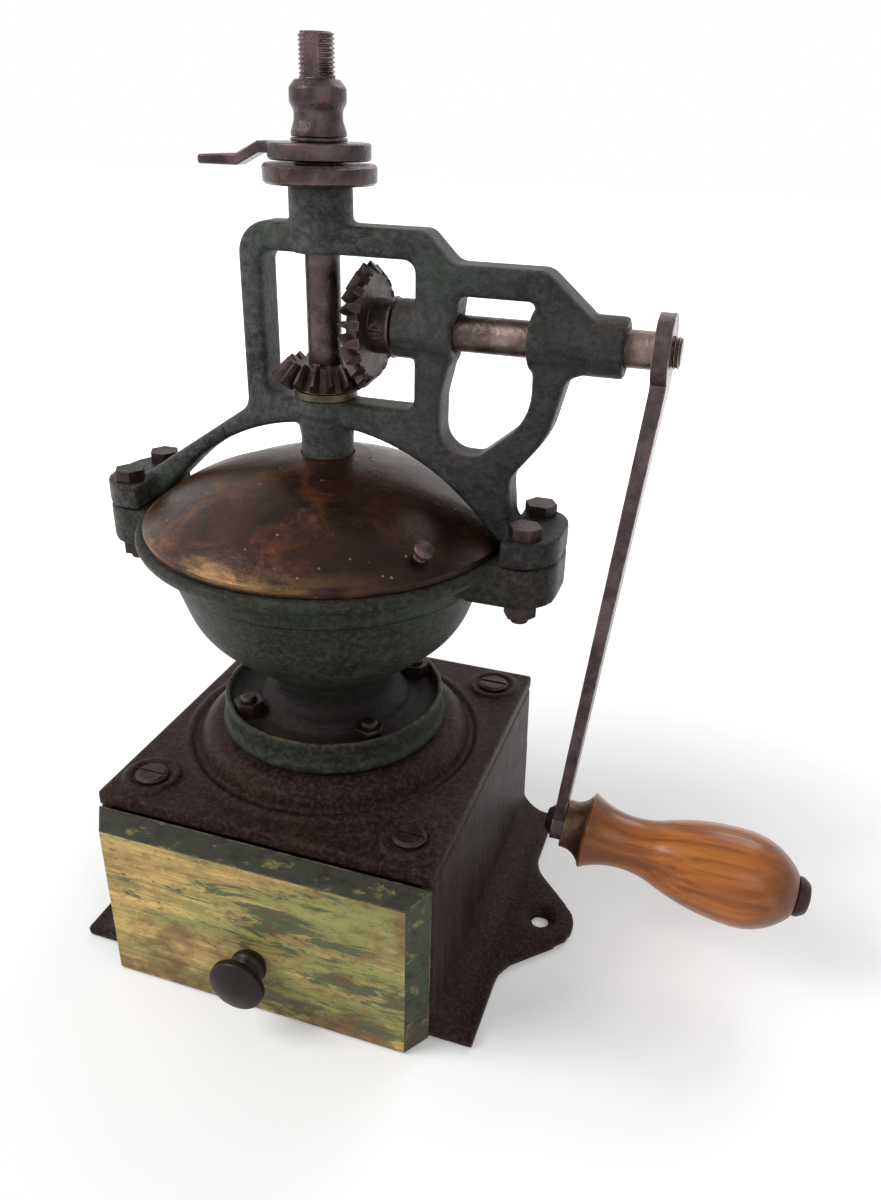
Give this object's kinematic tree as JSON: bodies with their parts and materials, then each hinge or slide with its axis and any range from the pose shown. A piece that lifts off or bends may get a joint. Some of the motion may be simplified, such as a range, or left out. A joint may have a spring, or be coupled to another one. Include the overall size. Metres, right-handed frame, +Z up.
{
  "type": "coffee grinder mill",
  "caption": "Antique hand coffee mill: iron box with drawer, round hopper with domed lid, and a bridge that carries a bevel-geared side crank and the grinding spindle.",
  "frame": {"origin": "on the floor, midway between the two foot screw holes and under the spindle axis", "axes": "+Z up along the spindle, the drawer faces -Y, the crank is on +X"},
  "size_m": [0.3836, 0.2131, 0.4216],
  "materials": {
    "dark_iron": "worn dark brown-black cast iron",
    "green_paint": "worn dark green paint over cast iron",
    "rusty_steel": "brown oxidised steel with a slight sheen",
    "bolt_steel": "rusty fasteners",
    "bronze_sheet": "brown patina, golden where worn",
    "old_brass": "dark brass patina",
    "painted_board": "worn ochre wood with green paint remains",
    "drawer_wood": "plain sawn softwood",
    "black_wood": "turned wood, nearly black",
    "varnished_wood": "glossy orange-brown varnish"
  },
  "bodies": {
    "stand": {"base_box": "dark_iron", "top_plate": "dark_iron", "corner_screws": "bolt_steel", "hopper": "green_paint", "hopper_studs": "bolt_steel", "hopper_nuts": "bolt_steel", "burr_ring": "dark_iron", "yoke": "green_paint", "yoke_bolts": "bolt_steel", "yoke_nuts": "bolt_steel", "lid_rear": "bronze_sheet", "thrust_ring": "old_brass"},
    "drawer": {"drawer_front": "painted_board", "drawer_left_side": "drawer_wood", "drawer_right_side": "drawer_wood", "drawer_back": "drawer_wood", "drawer_floor": "drawer_wood", "drawer_knob": "black_wood", "knob_screw": "bolt_steel"},
    "lid": {"lid_front": "bronze_sheet", "lid_knob": "bolt_steel"},
    "crank": {"crank_shaft": "rusty_steel", "crank_gear": "rusty_steel", "gear_set_screw": "bolt_steel", "crank_washer": "rusty_steel", "crank_arm": "rusty_steel", "grip_pin": "bolt_steel", "handle_cap": "black_wood"},
    "handle": {"grip": "varnished_wood", "grip_ferrule": "old_brass"},
    "driven_gear": {"spindle_gear": "rusty_steel", "gear_key": "rusty_steel"},
    "spindle": {"main_spindle": "rusty_steel", "spindle_sleeve": "rusty_steel", "burr_cone": "dark_iron", "burr_nut": "bolt_steel"},
    "lift_washer": {"thrust_washer": "rusty_steel"},
    "adjuster": {"adjusting_lever": "rusty_steel"},
    "lock": {"lock_ring": "rusty_steel"}
  },
  "joints": [
    {"name": "crank_turn", "type": "hinge", "parent": "stand", "child": "crank", "pos_m": [0.08, 0, 0.3128], "axis": [1, 0, 0], "continuous": true},
    {"name": "spindle_turn", "type": "hinge", "parent": "stand", "child": "driven_gear", "pos_m": [0, 0, 0.29], "axis": [0, 0, 1], "continuous": true},
    {"name": "spindle_lift", "type": "slide", "parent": "driven_gear", "child": "spindle", "axis": [0, 0, 1], "range_m": [-0.00072, 0.00072]},
    {"name": "adjust_lift", "type": "slide", "parent": "stand", "child": "lift_washer", "axis": [0, 0, 1], "range_m": [-0.00072, 0.00072]},
    {"name": "adjust_turn", "type": "hinge", "parent": "lift_washer", "child": "adjuster", "pos_m": [0, 0, 0.378], "axis": [0, 0, 1], "range_deg": [-170, 170]},
    {"name": "lock_turn", "type": "hinge", "parent": "stand", "child": "lock", "pos_m": [0, 0, 0.371], "axis": [0, 0, 1], "range_deg": [0, 40]},
    {"name": "lid_turn", "type": "hinge", "parent": "stand", "child": "lid", "pos_m": [0, 0, 0.24], "axis": [0, 0, 1], "range_deg": [-125, 0]},
    {"name": "drawer_slide", "type": "slide", "parent": "stand", "child": "drawer", "axis": [0, -1, 0], "range_m": [0, 0.12]},
    {"name": "grip_spin", "type": "hinge", "parent": "crank", "child": "handle", "pos_m": [0.12564, 0, 0.0728], "axis": [0.9945, 0, -0.1045], "continuous": true}
  ],
  "couplings": [
    {"joint": "spindle_turn", "follows": "crank_turn", "ratio": 1.1111},
    {"joint": "spindle_lift", "follows": "adjust_turn", "m_per_rad": 0.00023873},
    {"joint": "adjust_lift", "follows": "adjust_turn", "m_per_rad": 0.00023873}
  ]
}
